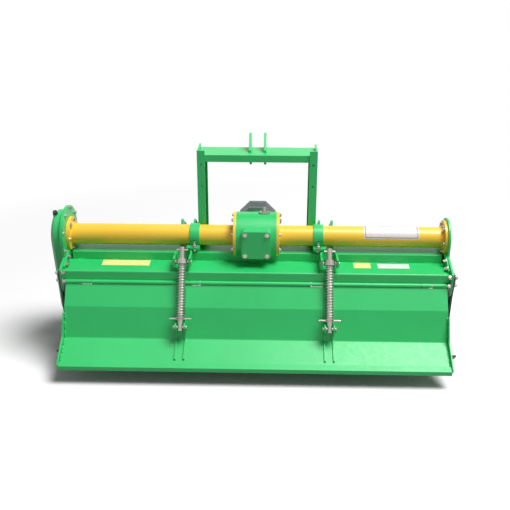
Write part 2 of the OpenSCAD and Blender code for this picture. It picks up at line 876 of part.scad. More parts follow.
module flap_panel() {
    x = flap_w / 2 - flap_end_t;
    line = [hinge + 8 * down(upper_slope), bend_1, bend_2, flap_tip];
    placed() color(green) difference() {
        union() {
            side_plate(-x, x) polygon(sheet(bent(line, bend_r), flap_t));
            cross_bar(hinge, -roll_end, roll_end, roll_r);
        }
        cross_bar(hinge, -roll_end - 1, roll_end + 1, hinge_rod_r + fit);
        for (k = knuckles) cross_bar(hinge, k - knuckle_len / 2 - knuckle_gap,
            k + knuckle_len / 2 + knuckle_gap, roll_r + knuckle_play);
    }
}

module flap_lip() {
    x = flap_w / 2 - flap_end_t;
    d = down(lower_slope);
    n = out(lower_slope);
    placed() color(green) side_plate(-x, x) polygon([flap_tip - lip_w * d, flap_tip,
        flap_tip + [0, -lip_h * 0.7], flap_tip + [-lip_t, -lip_h * 0.7],
        flap_tip + [-lip_t, lip_h * 0.3], flap_tip - lip_w * d + lip_t * n]);
}

module flap_end(side) {
    n2 = out(middle_slope);
    n3 = out(lower_slope);
    start = bend_1 + 30 * down(middle_slope);
    x = flap_w / 2;
    placed() color(green) mirror([side < 0 ? 1 : 0, 0, 0]) side_plate(x - flap_end_t, x)
        polygon(concat([start - flap_t * n2, bend_2 - flap_t * (n2 + n3) / 2, flap_tip - flap_t * n3,
            flap_tip + 14 * n3], bent([flap_tip - 20 * down(lower_slope) + 20 * n3,
            bend_2 + 34 * (n2 + n3) / 2, start + 12 * n2], 60)));
}

module flap_end_left() { flap_end(-1); }

module flap_end_right() { flap_end(1); }

module flap_lugs(side) {
    n1 = out(upper_slope);
    n2 = out(middle_slope);
    n3 = out(lower_slope);
    top = hinge + 24 * down(upper_slope);
    end = bend_2 + (lower_len - lip_w - lug_end_gap) * down(lower_slope);
    base = bend_1 + clevis_down * down(middle_slope);
    line = bent([top, bend_1, bend_2, end], bend_r);
    placed() color(green) for (k = [-1, 1]) {
        x = side * rod_x + (k > 0 ? lug_gap / 2 : -lug_gap / 2 - lug_t);
        difference() {
            side_plate(x, x + lug_t) {
                polygon(sheet(line, -rib_h));
                polygon([base - 24 * down(middle_slope), base + 40 * down(middle_slope),
                    clevis + lug_r * down(middle_slope), clevis - lug_r * down(middle_slope)]);
                translate(clevis) circle(lug_r);
            }
            cross_bar(clevis, x - 1, x + lug_t + 1, clevis_pin_r + fit);
        }
    }
}

module flap_lugs_left() { flap_lugs(-1); }

module flap_lugs_right() { flap_lugs(1); }

// Levelling rods

module yoke(side) {
    r = yoke_gap / 2 + yoke_t;
    back = trunnion[0] - 16;
    front = trunnion[0] + yoke_len;
    z0 = trunnion[1] - yoke_h / 2;
    placed() color(green) difference() {
        union() {
            translate([side * rod_x, 0, z0]) {
                translate([0, front, 0]) cylinder(h = yoke_h, r = r);
                block([-r, back, 0], [r, front, yoke_h]);
            }
            block([side * rod_x - 36, -box_beam_back - yoke_t, -deck_drop],
                [side * rod_x + 36, -box_beam_back, z0 + yoke_h]);
        }
        translate([side * rod_x, 0, z0 - 1]) {
            translate([0, front, -yoke_h]) cylinder(h = 3 * yoke_h, r = r - yoke_t);
            block([yoke_t - r, back - 1, 0], [r - yoke_t, front, yoke_h + 2]);
        }
        cross_bar(trunnion, side * rod_x - r - 1, side * rod_x + r + 1, trunnion_pin_r + fit);
    }
}

module yoke_left() { yoke(-1); }

module yoke_right() { yoke(1); }

module trunnion(side) {
    r = yoke_gap / 2 + yoke_t;
    placed() color(steel) difference() {
        union() {
            on_rod(side, -half_trunnion) cylinder(h = trunnion_t, r = trunnion_r);
            cross_bar(trunnion, side * rod_x - r - 5, side * rod_x + r + 5, trunnion_pin_r);
        }
        on_rod(side, -half_trunnion - 1) cylinder(h = trunnion_t + 2, r = rod_d / 2 + rod_play);
    }
}

module trunnion_left() { trunnion(-1); }

module trunnion_right() { trunnion(1); }

module rod(side) {
    stop = -half_trunnion - fit;
    placed() color(steel) {
        on_rod(side, -rod_above) cylinder(h = rod_above + rod_len + rod_below, r = rod_d / 2);
        on_rod(side, stop - washer_t) cylinder(h = washer_t, r = spring_d / 2 + 1);
        on_rod(side, spring_low) cylinder(h = washer_t, r = spring_d / 2 + 2);
        on_rod(side, spring_low + washer_t + cross_r - 1) rotate([0, 90, 0])
            cylinder(h = cross_len, r = cross_r, center = true);
        on_rod(side, -rod_above + 14) rotate([0, 90, 0]) cylinder(h = 54, r = cross_r, center = true);
        cross_bar(clevis, side * rod_x - lug_gap / 2 - lug_t - 8, side * rod_x + lug_gap / 2 + lug_t + 8,
            clevis_pin_r);
    }
}

module rod_left() { rod(-1); }

module rod_right() { rod(1); }

module spring(side) {
    r = (spring_d - wire_d) / 2;
    low = half_trunnion + fit;
    length = spring_low - fit - low;
    per_turn = 12;
    sides = 6;
    rings = spring_turns * per_turn;
    function rise(t) = wire_d / 2 + (t < 1 ? t * wire_d * 1.02
        : t > spring_turns - 1 ? length - wire_d - (spring_turns - t) * wire_d * 1.02
        : wire_d * 1.02 + (t - 1) / (spring_turns - 2) * (length - wire_d - 2.04 * wire_d));
    points = [for (i = [0:rings]) let (a = i * 360 / per_turn, z = rise(i / per_turn))
        for (j = [0:sides - 1]) let (b = j * 360 / sides, q = r + wire_d / 2 * cos(b))
        [q * cos(a), q * sin(a), z + wire_d / 2 * sin(b)]];
    faces = concat([[for (j = [0:sides - 1]) j]],
        [for (i = [0:rings - 1]) for (j = [0:sides - 1]) let (a = i * sides + j, b = i * sides + (j + 1) % sides)
        [a, a + sides, b + sides, b]], [[for (j = [sides - 1:-1:0]) rings * sides + j]]);
    placed() color(steel) on_rod(side, low) polyhedron(points, faces);
}

module spring_left() { spring(-1); }

module spring_right() { spring(1); }

gearbox_housing();
gearbox_rear_cover();
gearbox_breather();
input_guard();
input_shaft();
axle_tube_left();
axle_tube_right();
hood_deck();
hood_beam();
hood_end_left();
hood_end_right();
gear_case_plate();
gear_case_cover();
gear_case_breather();
side_plate_right();
rotor_bearing();
headstock_left();
headstock_right();
headstock_beam();
top_link_lugs();
tube_clamp_left();
tube_clamp_right();
lower_hitch_left();
lower_hitch_right();
skid_left();
skid_right();
yoke_left();
yoke_right();
flap_hinge_rod();
rotor_tube();
tine_set_1();
tine_set_2();
tine_set_3();
tine_set_4();
tine_set_5();
tine_set_6();
tine_set_7();
tine_set_8();
flap_panel();
flap_lip();
flap_end_left();
flap_end_right();
flap_lugs_left();
flap_lugs_right();
trunnion_left();
trunnion_right();
spring_left();
spring_right();
rod_left();
rod_right();
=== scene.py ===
import json
import math
import bmesh
import bpy
from mathutils import Matrix, Vector


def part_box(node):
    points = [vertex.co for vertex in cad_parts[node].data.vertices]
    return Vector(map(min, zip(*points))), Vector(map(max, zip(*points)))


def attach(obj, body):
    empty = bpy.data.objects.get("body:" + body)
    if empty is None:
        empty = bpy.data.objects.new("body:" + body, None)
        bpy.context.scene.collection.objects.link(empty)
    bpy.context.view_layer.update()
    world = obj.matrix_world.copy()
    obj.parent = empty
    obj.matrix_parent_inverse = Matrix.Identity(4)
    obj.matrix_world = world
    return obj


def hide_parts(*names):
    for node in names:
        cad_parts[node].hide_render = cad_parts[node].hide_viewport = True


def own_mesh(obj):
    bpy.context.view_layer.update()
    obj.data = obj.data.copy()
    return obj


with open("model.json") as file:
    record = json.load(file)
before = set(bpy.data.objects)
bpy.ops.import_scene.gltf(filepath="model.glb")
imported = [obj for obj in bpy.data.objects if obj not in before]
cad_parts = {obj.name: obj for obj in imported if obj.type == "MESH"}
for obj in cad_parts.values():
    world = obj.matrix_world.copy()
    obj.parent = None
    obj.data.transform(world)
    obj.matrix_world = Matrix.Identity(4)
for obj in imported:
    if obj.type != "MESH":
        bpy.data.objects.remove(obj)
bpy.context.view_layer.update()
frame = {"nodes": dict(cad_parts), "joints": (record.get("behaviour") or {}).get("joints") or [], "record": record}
nodeObjects = frame["nodes"]
mm = 0.001
print("frame loaded:", len(nodeObjects), "nodes")

# Camera: looks down on the back of the machine, a little from its right

camera = {
    "distance": 3.661,    # metres from the middle of the axle tubes
    "azimuth": 1.321,     # degrees round to the right
    "elevation": 20.498,  # degrees above level
    "roll": 0.184,        # degrees, right side lower
    "focalPixels": 740.7,
    "aimPixel": (256.613, 235.275),   # where the middle of the axle tubes falls
    "imageSize": 510,
    "sensorWidth": 36,    # millimetres
    "farClip": 100,       # metres
}

rightLow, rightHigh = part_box("axle_tube_right")
leftLow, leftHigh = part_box("axle_tube_left")
# The flanges are round, so the tubes' axis lies half their depth below their top
tubeZ = rightHigh.z - (rightHigh.y - rightLow.y) / 2
tubeAxis = Vector(((rightHigh.x + leftLow.x) / 2, (rightLow.y + rightHigh.y) / 2, tubeZ))


def at(x, y, z):
    # A point in millimetres from the middle of the axle tubes: right, forward, up
    return tubeAxis + Vector((x, y, z)) * mm


def makeCamera():
    c = camera
    a, e = math.radians(c["azimuth"]), math.radians(c["elevation"])
    away = Vector((math.sin(a) * math.cos(e), -math.cos(a) * math.cos(e), math.sin(e)))
    data = bpy.data.cameras.new("camera")
    data.sensor_width = c["sensorWidth"]
    data.lens = c["focalPixels"] / c["imageSize"] * data.sensor_width
    data.shift_x = (c["imageSize"] / 2 - c["aimPixel"][0]) / c["imageSize"]
    data.shift_y = (c["aimPixel"][1] - c["imageSize"] / 2) / c["imageSize"]
    data.clip_end = c["farClip"]
    cam = bpy.data.objects.new("camera", data)
    bpy.context.scene.collection.objects.link(cam)
    cam.location = tubeAxis + away * c["distance"]
    turn = (-away).to_track_quat("-Z", "Y").to_matrix()
    cam.rotation_euler = (turn @ Matrix.Rotation(math.radians(c["roll"]), 3, "Z")).to_euler()
    bpy.context.scene.camera = cam


makeCamera()

# Materials

paints = {
    "greenPaint": {"color": (0.020, 0.57, 0.150), "dark": (0.014, 0.51, 0.128),
                   "roughness": 0.46, "coat": 0.35, "shine": 0.50, "peel": 0.04, "dust": 0.04},
    "yellowPaint": {"color": (0.96, 0.62, 0.045), "dark": (0.94, 0.57, 0.030),
                    "roughness": 0.36, "coat": 0.35, "shine": 0.50, "peel": 0.04, "dust": 0.03},
    "blackPaint": {"color": (0.020, 0.021, 0.023), "dark": (0.012, 0.012, 0.014),
                   "roughness": 0.42, "coat": 0.15, "shine": 0.40, "peel": 0.08, "dust": 0.08},
}
paintGrain = {
    "cloud": (3.2, 5), "fine": (46, 3), "peel": (260, 2),   # scale and detail of each noise
    "cloudRange": (0.3, 0.7), "roughRange": (0.3, 0.8), "dustRange": (0.55, 0.85),
    "roughness": (-0.05, 0.12),   # over roughRange, added to the paint's own
    "coatRoughness": 0.32,
    "dustColor": (0.42, 0.40, 0.34),
    "peelDepth": 0.001,
}

metals = {
    "zinc": {"color": (0.48, 0.46, 0.41), "roughness": 0.36, "grain": 900, "bump": 0.05},
    "springSteel": {"color": (0.57, 0.545, 0.51), "roughness": 0.38, "grain": 700, "bump": 0.05},
    "bareSteel": {"color": (0.42, 0.42, 0.42), "roughness": 0.30, "grain": 1200, "bump": 0.06},
}
metalGrain = {
    "cloud": (18, 4), "cloudRange": (0.35, 0.65), "darker": 0.72, "metallic": 0.9,
    "roughRange": (0.3, 0.7), "roughness": (0.12, -0.06),
    "bumpDetail": 2, "bumpDepth": 0.0006,
}

plastics = {
    "guardPlastic": {"color": (0.25, 0.29, 0.31), "roughness": 0.48, "grain": 1400, "bump": 0.18},
    "blackPlastic": {"color": (0.018, 0.018, 0.020), "roughness": 0.40,
                     "grain": 1400, "bump": 0.12},
}
plasticGrain = {
    "cloud": (9, 4), "cloudRange": (0.35, 0.7), "paler": 1.35, "lift": 0.01,
    "roughRange": (0.3, 0.7), "roughness": (-0.05, 0.08),
    "bumpDetail": 2, "bumpDepth": 0.0005,
}


def newMaterial(name):
    mat = bpy.data.materials.new(name)
    mat.use_nodes = True
    nodes, links = mat.node_tree.nodes, mat.node_tree.links
    shader = nodes["Principled BSDF"]
    place = nodes.new("ShaderNodeTexCoord").outputs["Object"]
    return mat, nodes, links, shader, place


def noise(nodes, links, place, scale, detail, roughness=0.55):
    tex = nodes.new("ShaderNodeTexNoise")
    tex.inputs["Scale"].default_value = scale
    tex.inputs["Detail"].default_value = detail
    tex.inputs["Roughness"].default_value = roughness
    links.new(place, tex.inputs["Vector"])
    return tex.outputs["Fac"]


def spread(nodes, links, value, low, high, toLow, toHigh):
    step = nodes.new("ShaderNodeMapRange")
    step.inputs["From Min"].default_value = low
    step.inputs["From Max"].default_value = high
    step.inputs["To Min"].default_value = toLow
    step.inputs["To Max"].default_value = toHigh
    links.new(value, step.inputs["Value"])
    return step.outputs["Result"]


def mixed(nodes, links, factor, a, b):
    mix = nodes.new("ShaderNodeMix")
    mix.data_type = "RGBA"
    links.new(factor, mix.inputs["Factor"])
    for socket, value in ((mix.inputs[6], a), (mix.inputs[7], b)):
        if isinstance(value, tuple):
            socket.default_value = (*value, 1)
        else:
            links.new(value, socket)
    return mix.outputs[2]


def roughen(nodes, links, shader, value, p, g):
    # Roughness that wanders with the noise round the material's own
    low, high = (p["roughness"] + r for r in g["roughness"])
    rough = spread(nodes, links, value, *g["roughRange"], low, high)
    links.new(rough, shader.inputs["Roughness"])


def bump(nodes, links, shader, height, strength, distance):
    node = nodes.new("ShaderNodeBump")
    node.inputs["Strength"].default_value = strength
    node.inputs["Distance"].default_value = distance
    links.new(height, node.inputs["Height"])
    links.new(node.outputs["Normal"], shader.inputs["Normal"])


def paintMaterial(name, p):
    g = paintGrain
    mat, nodes, links, shader, place = newMaterial(name)
    cloud = noise(nodes, links, place, *g["cloud"])
    fine = noise(nodes, links, place, *g["fine"])
    patches = spread(nodes, links, cloud, *g["cloudRange"], 0, 1)
    base = mixed(nodes, links, patches, p["dark"], p["color"])
    speck = spread(nodes, links, fine, *g["dustRange"], 0, p["dust"])
    dusty = mixed(nodes, links, speck, base, g["dustColor"])
    links.new(dusty, shader.inputs["Base Color"])
    roughen(nodes, links, shader, fine, p, g)
    shader.inputs["Coat Weight"].default_value = p["coat"]
    shader.inputs["Specular IOR Level"].default_value = p["shine"]
    shader.inputs["Coat Roughness"].default_value = g["coatRoughness"]
    peel = noise(nodes, links, place, *g["peel"])
    bump(nodes, links, shader, peel, p["peel"], g["peelDepth"])
    return mat


def metalMaterial(name, p):
    g = metalGrain
    mat, nodes, links, shader, place = newMaterial(name)
    cloud = noise(nodes, links, place, *g["cloud"])
    patches = spread(nodes, links, cloud, *g["cloudRange"], 0, 1)
    dark = tuple(c * g["darker"] for c in p["color"])
    links.new(mixed(nodes, links, patches, dark, p["color"]), shader.inputs["Base Color"])
    roughen(nodes, links, shader, cloud, p, g)
    shader.inputs["Metallic"].default_value = g["metallic"]
    grain = noise(nodes, links, place, p["grain"], g["bumpDetail"])
    bump(nodes, links, shader, grain, p["bump"], g["bumpDepth"])
    return mat


def plasticMaterial(name, p):
    g = plasticGrain
    mat, nodes, links, shader, place = newMaterial(name)
    cloud = noise(nodes, links, place, *g["cloud"])
    patches = spread(nodes, links, cloud, *g["cloudRange"], 0, 1)
    pale = tuple(min(1, c * g["paler"] + g["lift"]) for c in p["color"])
    links.new(mixed(nodes, links, patches, p["color"], pale), shader.inputs["Base Color"])
    roughen(nodes, links, shader, cloud, p, g)
    grain = noise(nodes, links, place, p["grain"], g["bumpDetail"])
    bump(nodes, links, shader, grain, p["bump"], g["bumpDepth"])
    return mat


materials = {}
for maker, family in ((paintMaterial, paints), (metalMaterial, metals),
                      (plasticMaterial, plastics)):
    for name, values in family.items():
        materials[name] = maker(name, values)

slotMaterial = {
    "green_paint": "greenPaint", "yellow_paint": "yellowPaint", "black_paint": "blackPaint",
    "tine_paint": "blackPaint", "zinc": "zinc", "spring_steel": "springSteel",
    "bare_steel": "bareSteel", "guard_plastic": "guardPlastic", "black_plastic": "blackPlastic",
}
slotOf = {s["node"]: s["material_slot"] for s in frame["record"]["subparts"]}
bodyOf = {n: b for b, members in frame["record"]["behaviour"]["bodies"].items() for n in members}
print("materials made:", len(materials))

# Dressed copies of the solids, with the soft edges of cut plate and castings

edges = {
    "casting": {"width": 3.0, "segments": 3},
    "plate": {"width": 0.9, "segments": 2},
    "castings": {"gearbox_housing", "gearbox_rear_cover", "rotor_bearing"},
    "bevelAngle": 38,       # degrees from which an edge is softened
    "sharpAngle": 32,       # degrees from which the shading breaks
    "flatAngle": 0.6,       # degrees up to which faces count as one
    "mergeDistance": 2e-6,  # metres
    "flatWeight": 90,
}
keptPlain = {"spring_left", "spring_right"}


def linkMesh(name, mesh):
    obj = bpy.data.objects.new(name, mesh)
    bpy.context.scene.collection.objects.link(obj)
    return obj


def asPlainMesh(obj, name):
    # Takes the evaluated shape and drops the modifiers
    graph = bpy.context.evaluated_depsgraph_get()
    mesh = bpy.data.meshes.new_from_object(obj.evaluated_get(graph))
    piece = linkMesh(name, mesh)
    bpy.data.objects.remove(obj)
    return piece


def softened(node):
    kind = edges["casting" if node in edges["castings"] else "plate"]
    flat = math.radians(edges["flatAngle"])
    mesh = nodeObjects[node].data.copy()
    bm = bmesh.new()
    bm.from_mesh(mesh)
    bmesh.ops.remove_doubles(bm, verts=bm.verts, dist=edges["mergeDistance"])
    bmesh.ops.dissolve_limit(bm, angle_limit=flat, verts=bm.verts, edges=bm.edges)
    bm.to_mesh(mesh)
    bm.free()
    obj = linkMesh("cleaned", mesh)
    bevel = obj.modifiers.new("bevel", "BEVEL")
    bevel.width = kind["width"] * mm
    bevel.segments = kind["segments"]
    bevel.limit_method = "ANGLE"
    bevel.angle_limit = math.radians(edges["bevelAngle"])
    bevel.use_clamp_overlap = True
    piece = asPlainMesh(obj, "bevelled")
    piece.data.shade_smooth()
    piece.data.set_sharp_from_angle(angle=math.radians(edges["sharpAngle"]))
    # Large flat faces keep their own direction beside the bevels
    even = piece.modifiers.new("even", "WEIGHTED_NORMAL")
    even.keep_sharp = True
    even.weight = edges["flatWeight"]
    return asPlainMesh(piece, "dressed_" + node)


def finishPiece(piece, body, slot, material=None):
    piece.data.materials.clear()
    piece.data.materials.append(material or materials[slotMaterial[slot]])
    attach(piece, body)
    return piece


for node in sorted(nodeObjects):
    if node in keptPlain:
        continue
    piece = finishPiece(softened(node), bodyOf[node], slotOf[node])
    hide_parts(node)
print("solids dressed")

# Levelling springs: a fine coil in place of each solid spring, sizes in millimetres

springs = {
    "wire": 5.0, "coil": 39.0, "turns": 20,
    "closedPitch": 1.02,   # of the end turns, in wire thicknesses
    "sidesRound": 10, "stepsPerTurn": 28,
}


def coilMesh(top, down, length, s):
    # Closed end turns, then an even pitch between them
    wire, radius = s["wire"] * mm / 2, (s["coil"] - s["wire"]) * mm / 2
    turns, steps, sides = s["turns"], s["stepsPerTurn"], s["sidesRound"]
    across = Vector((1, 0, 0))
    third = down.cross(across).normalized()
    flat = 2 * wire * s["closedPitch"]
    middle = length - 2 * wire - 2 * flat
    mesh = bmesh.new()
    rings = []
    for i in range(turns * steps + 1):
        t = i / steps
        a = 2 * math.pi * t
        if t < 1:
            h = wire + t * flat
        elif t > turns - 1:
            h = length - wire - (turns - t) * flat
        else:
            h = wire + flat + (t - 1) / (turns - 2) * middle
        out = across * math.cos(a) + third * math.sin(a)
        ring = []
        for j in range(sides):
            b = 2 * math.pi * j / sides
            side = out * (radius + wire * math.cos(b))
            ring.append(mesh.verts.new(top + side + down * (h + wire * math.sin(b))))
        rings.append(ring)
    for low, high in zip(rings, rings[1:]):
        for j in range(sides):
            k = (j + 1) % sides
            mesh.faces.new((low[j], low[k], high[k], high[j]))
    mesh.faces.new(rings[0][::-1])
    mesh.faces.new(rings[-1])
    bmesh.ops.recalc_face_normals(mesh, faces=mesh.faces)
    data = bpy.data.meshes.new("coil")
    mesh.to_mesh(data)
    mesh.free()
    data.shade_smooth()
    return data


def joint(name):
    return next(j for j in frame["joints"] if j["name"] == name)


def jointPlace(name):
    return Vector(joint(name)["pos_m"])


def makeSprings():
    for side in ("left", "right"):
        pivot = jointPlace("trunnion_pivot_" + side)
        pin = jointPlace("rod_pivot_" + side)
        down = (pin - pivot).normalized()
        low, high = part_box("spring_" + side)
        # The solid spring's box gives its length along the rod
        reach = abs(down.y) * springs["coil"] * mm
        length = (high.z - low.z - reach) / abs(down.z)
        middle = (low + high) / 2
        start = (middle - pivot).dot(down) - length / 2
        top = pivot + down * start
        piece = linkMesh("spring_coil_" + side, coilMesh(top, down, length, springs))
        finishPiece(piece, "trunnion_" + side, "spring_steel")
        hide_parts("spring_" + side)
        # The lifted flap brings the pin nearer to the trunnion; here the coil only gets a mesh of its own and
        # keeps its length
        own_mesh(piece)


makeSprings()
print("springs made")

# Geometry Nodes: trees that put bolts, split rings and weld drops on points and lines

boltShape = {
    "washerSides": 20, "headSides": 6, "studSides": 12,
    "crownHeight": 0.0012, "crownFoot": 0.86, "crownTop": 0.70,   # widths to the head's radius
    "seed": 11,
}
clipShape = {"ringSteps": 24, "wireSides": 8}
weldShape = {"smallest": 0.85, "largest": 1.15, "seed": 4}


def newTree(name, sizes):
    tree = bpy.data.node_groups.new(name, "GeometryNodeTree")
    face = tree.interface
    face.new_socket(name="Geometry", in_out="INPUT", socket_type="NodeSocketGeometry")
    for label, value in sizes.items():
        socket = face.new_socket(name=label, in_out="INPUT", socket_type="NodeSocketFloat")
        socket.default_value = value
    face.new_socket(name="Geometry", in_out="OUTPUT", socket_type="NodeSocketGeometry")
    entry, leave = tree.nodes.new("NodeGroupInput"), tree.nodes.new("NodeGroupOutput")
    return tree, tree.nodes, tree.links, entry, leave


def setTreeInputs(modifier, values):
    for item in modifier.node_group.interface.items_tree:
        if item.item_type == "SOCKET" and item.in_out == "INPUT" and item.name in values:
            modifier[item.identifier] = values[item.name]


def reckon(nodes, links, how, a, b):
    step = nodes.new("ShaderNodeMath")
    step.operation = how
    for socket, value in zip(step.inputs, (a, b)):
        if isinstance(value, (int, float)):
            socket.default_value = value
        else:
            links.new(value, socket)
    return step.outputs[0]


def moveUp(nodes, links, shape, height):
    lift = nodes.new("GeometryNodeTransform")
    place = nodes.new("ShaderNodeCombineXYZ")
    links.new(height, place.inputs["Z"])
    links.new(place.outputs[0], lift.inputs["Translation"])
    links.new(shape, lift.inputs["Geometry"])
    return lift.outputs[0]


def roundBar(nodes, links, sides, radius, height, base):
    bar = nodes.new("GeometryNodeMeshCylinder")
    bar.inputs["Vertices"].default_value = sides
    links.new(radius, bar.inputs["Radius"])
    links.new(height, bar.inputs["Depth"])
    half = reckon(nodes, links, "MULTIPLY", height, 0.5)
    return moveUp(nodes, links, bar.outputs["Mesh"], reckon(nodes, links, "ADD", half, base))


def facingTurn(nodes, links):
    facing = nodes.new("GeometryNodeInputNamedAttribute")
    facing.data_type = "FLOAT_VECTOR"
    facing.inputs["Name"].default_value = "facing"
    turn = nodes.new("FunctionNodeAlignRotationToVector")
    turn.axis = "Z"
    links.new(facing.outputs["Attribute"], turn.inputs["Vector"])
    return turn.outputs["Rotation"]


def scatter(nodes, links, points, shape):
    scattered = nodes.new("GeometryNodeInstanceOnPoints")
    links.new(points, scattered.inputs["Points"])
    links.new(shape, scattered.inputs["Instance"])
    return scattered


def randomValue(nodes, low, high, seed):
    # The node's float sockets are the third and fourth inputs and the second output
    chance = nodes.new("FunctionNodeRandomValue")
    chance.inputs[2].default_value = low
    chance.inputs[3].default_value = high
    chance.inputs["Seed"].default_value = seed
    return chance.outputs[1]


def finishTree(nodes, links, instances, leave, material):
    real = nodes.new("GeometryNodeRealizeInstances")
    paint = nodes.new("GeometryNodeSetMaterial")
    paint.inputs["Material"].default_value = material
    links.new(instances, real.inputs[0])
    links.new(real.outputs[0], paint.inputs["Geometry"])
    links.new(paint.outputs[0], leave.inputs["Geometry"])


def boltTree(material, sizes):
    # A hexagon head on a washer at every point, along the point's own direction
    b = boltShape
    tree, nodes, links, entry, leave = newTree("boltsAtPoints", sizes)
    size = entry.outputs
    headRadius, headHeight, washerHeight = (
        size["Head Radius"], size["Head Height"], size["Washer Height"])
    washer = roundBar(nodes, links, b["washerSides"], size["Washer Radius"], washerHeight, 0)
    head = roundBar(nodes, links, b["headSides"], headRadius, headHeight, washerHeight)
    top = reckon(nodes, links, "ADD", headHeight, washerHeight)
    crown = nodes.new("GeometryNodeMeshCone")
    crown.inputs["Vertices"].default_value = b["studSides"]
    crown.inputs["Depth"].default_value = b["crownHeight"]
    for part, label in (("crownFoot", "Radius Bottom"), ("crownTop", "Radius Top")):
        links.new(reckon(nodes, links, "MULTIPLY", headRadius, b[part]), crown.inputs[label])
    cap = moveUp(nodes, links, crown.outputs["Mesh"], top)
    stud = roundBar(nodes, links, b["studSides"], size["Stud Radius"], size["Stud Length"], top)
    join = nodes.new("GeometryNodeJoinGeometry")
    for shape in (washer, head, cap, stud):
        links.new(shape, join.inputs[0])
    scattered = scatter(nodes, links, size["Geometry"], join.outputs[0])
    links.new(facingTurn(nodes, links), scattered.inputs["Rotation"])
    spin = nodes.new("ShaderNodeCombineXYZ")
    links.new(randomValue(nodes, 0, math.pi / 3, b["seed"]), spin.inputs["Z"])
    tighten = nodes.new("GeometryNodeRotateInstances")
    links.new(scattered.outputs[0], tighten.inputs["Instances"])
    links.new(spin.outputs[0], tighten.inputs["Rotation"])
    finishTree(nodes, links, tighten.outputs[0], leave, material)
    return tree


def clipTree(material, sizes):
    # A split ring through the end of a pin
    tree, nodes, links, entry, leave = newTree("clipsAtPoints", sizes)
    tube = nodes.new("GeometryNodeCurveToMesh")
    for label, steps, end in (("Ring Radius", clipShape["ringSteps"], "Curve"),
                              ("Wire Radius", clipShape["wireSides"], "Profile Curve")):
        circle = nodes.new("GeometryNodeCurvePrimitiveCircle")
        circle.inputs["Resolution"].default_value = steps
        links.new(entry.outputs[label], circle.inputs["Radius"])
        links.new(circle.outputs["Curve"], tube.inputs[end])
    scattered = scatter(nodes, links, entry.outputs["Geometry"], tube.outputs[0])
    links.new(facingTurn(nodes, links), scattered.inputs["Rotation"])
    finishTree(nodes, links, scattered.outputs[0], leave, material)
    return tree


def weldTree(material, sizes):
    # Small overlapping drops along every line of the mesh
    tree, nodes, links, entry, leave = newTree("weldAlongLines", sizes)
    line = nodes.new("GeometryNodeMeshToCurve")
    links.new(entry.outputs["Geometry"], line.inputs["Mesh"])
    even = nodes.new("GeometryNodeResampleCurve")
    even.mode = "LENGTH"
    links.new(line.outputs[0], even.inputs["Curve"])
    links.new(entry.outputs["Drop Step"], even.inputs["Length"])
    drop = nodes.new("GeometryNodeMeshIcoSphere")
    drop.inputs["Subdivisions"].default_value = 1
    links.new(entry.outputs["Drop Radius"], drop.inputs["Radius"])
    scattered = scatter(nodes, links, even.outputs[0], drop.outputs["Mesh"])
    w = weldShape
    size = randomValue(nodes, w["smallest"], w["largest"], w["seed"])
    links.new(size, scattered.inputs["Scale"])
    finishTree(nodes, links, scattered.outputs[0], leave, material)
    return tree


def pointMesh(points):
    # points: (place, direction) pairs
    mesh = bpy.data.meshes.new("points")
    mesh.from_pydata([place for place, direction in points], [], [])
    facing = mesh.attributes.new("facing", "FLOAT_VECTOR", "POINT")
    for i, (place, direction) in enumerate(points):
        facing.data[i].vector = direction
    return mesh


def grow(name, mesh, tree, values, body, slot, smooth=34):
    # Runs a tree on a mesh and keeps the result as a plain mesh on one body
    obj = linkMesh(name, mesh)
    modifier = obj.modifiers.new("nodes", "NODES")
    modifier.node_group = tree
    setTreeInputs(modifier, values)
    piece = asPlainMesh(obj, name)
    facing = piece.data.attributes.get("facing")
    if facing:
        piece.data.attributes.remove(facing)
    piece.data.shade_smooth()
    piece.data.set_sharp_from_angle(angle=math.radians(smooth))
    return finishPiece(piece, body, slot)


# Bolts: sizes in metres, places in millimetres from the middle of the axle tubes

boltSizes = {
    "big": {"Head Radius": 0.0105, "Head Height": 0.008,
            "Washer Radius": 0.0130, "Washer Height": 0.0025,
            "Stud Radius": 0.0060, "Stud Length": 0.004},
    "small": {"Head Radius": 0.0085, "Head Height": 0.006,
              "Washer Radius": 0.0110, "Washer Height": 0.002,
              "Stud Radius": 0.0045, "Stud Length": 0.002},
    "cover": {"Head Radius": 0.0090, "Head Height": 0.006,
              "Washer Radius": 0.0112, "Washer Height": 0.002,
              "Stud Radius": 0.0040, "Stud Length": 0.0004},
    "stud": {"Head Radius": 0.0105, "Head Height": 0.008,
             "Washer Radius": 0.014, "Washer Height": 0.0025,
             "Stud Radius": 0.0060, "Stud Length": 0.016},
}
boltPlaces = {
    "rotorAxis": (15, -354),
    "cover": {"apart": 52.5, "y": -143},   # half the side of the bolt square
    "innerFlange": {"x": 112, "radius": 100, "count": 8, "first": 22.5, "lowest": -60},
    "outerFlange": {"x": 911, "radius": 69, "count": 6, "first": 35},
    "hoodEnd": {"x": 925, "points": ((-200, -127), (-197, -172))},
    "gusset": {"x": 917, "points": ((-147, -104), (-102, -84))},
    "skidStrap": {"x": 945, "points": ((-192, -131), (-186, -172), (171, -172), (168, -215))},
    "clamp": {"x": 302, "y": -71, "above": -36.8, "below": -46.8},
    "feet": {"z": -104, "points": ((341.5, 84), (341.5, 190), (270, 92), (270, 185))},
    "yoke": {"x": 351, "apart": 27, "y": -72, "z": -103},
    "bearing": {"x": 947, "radius": 53, "count": 4, "first": 45},
    "neck": {"y": 150, "radius": 69, "count": 6, "first": 30},
    "caseRim": {"x": -925, "topRadius": 128, "lowRadius": 83, "step": 94, "lowest": -95},
    "tines": {"sets": 8, "pitch": 236, "turn": 22, "blades": 6,
              "points": ((34.6, 53), (33.2, 76)), "head": 12, "nut": 5},
}


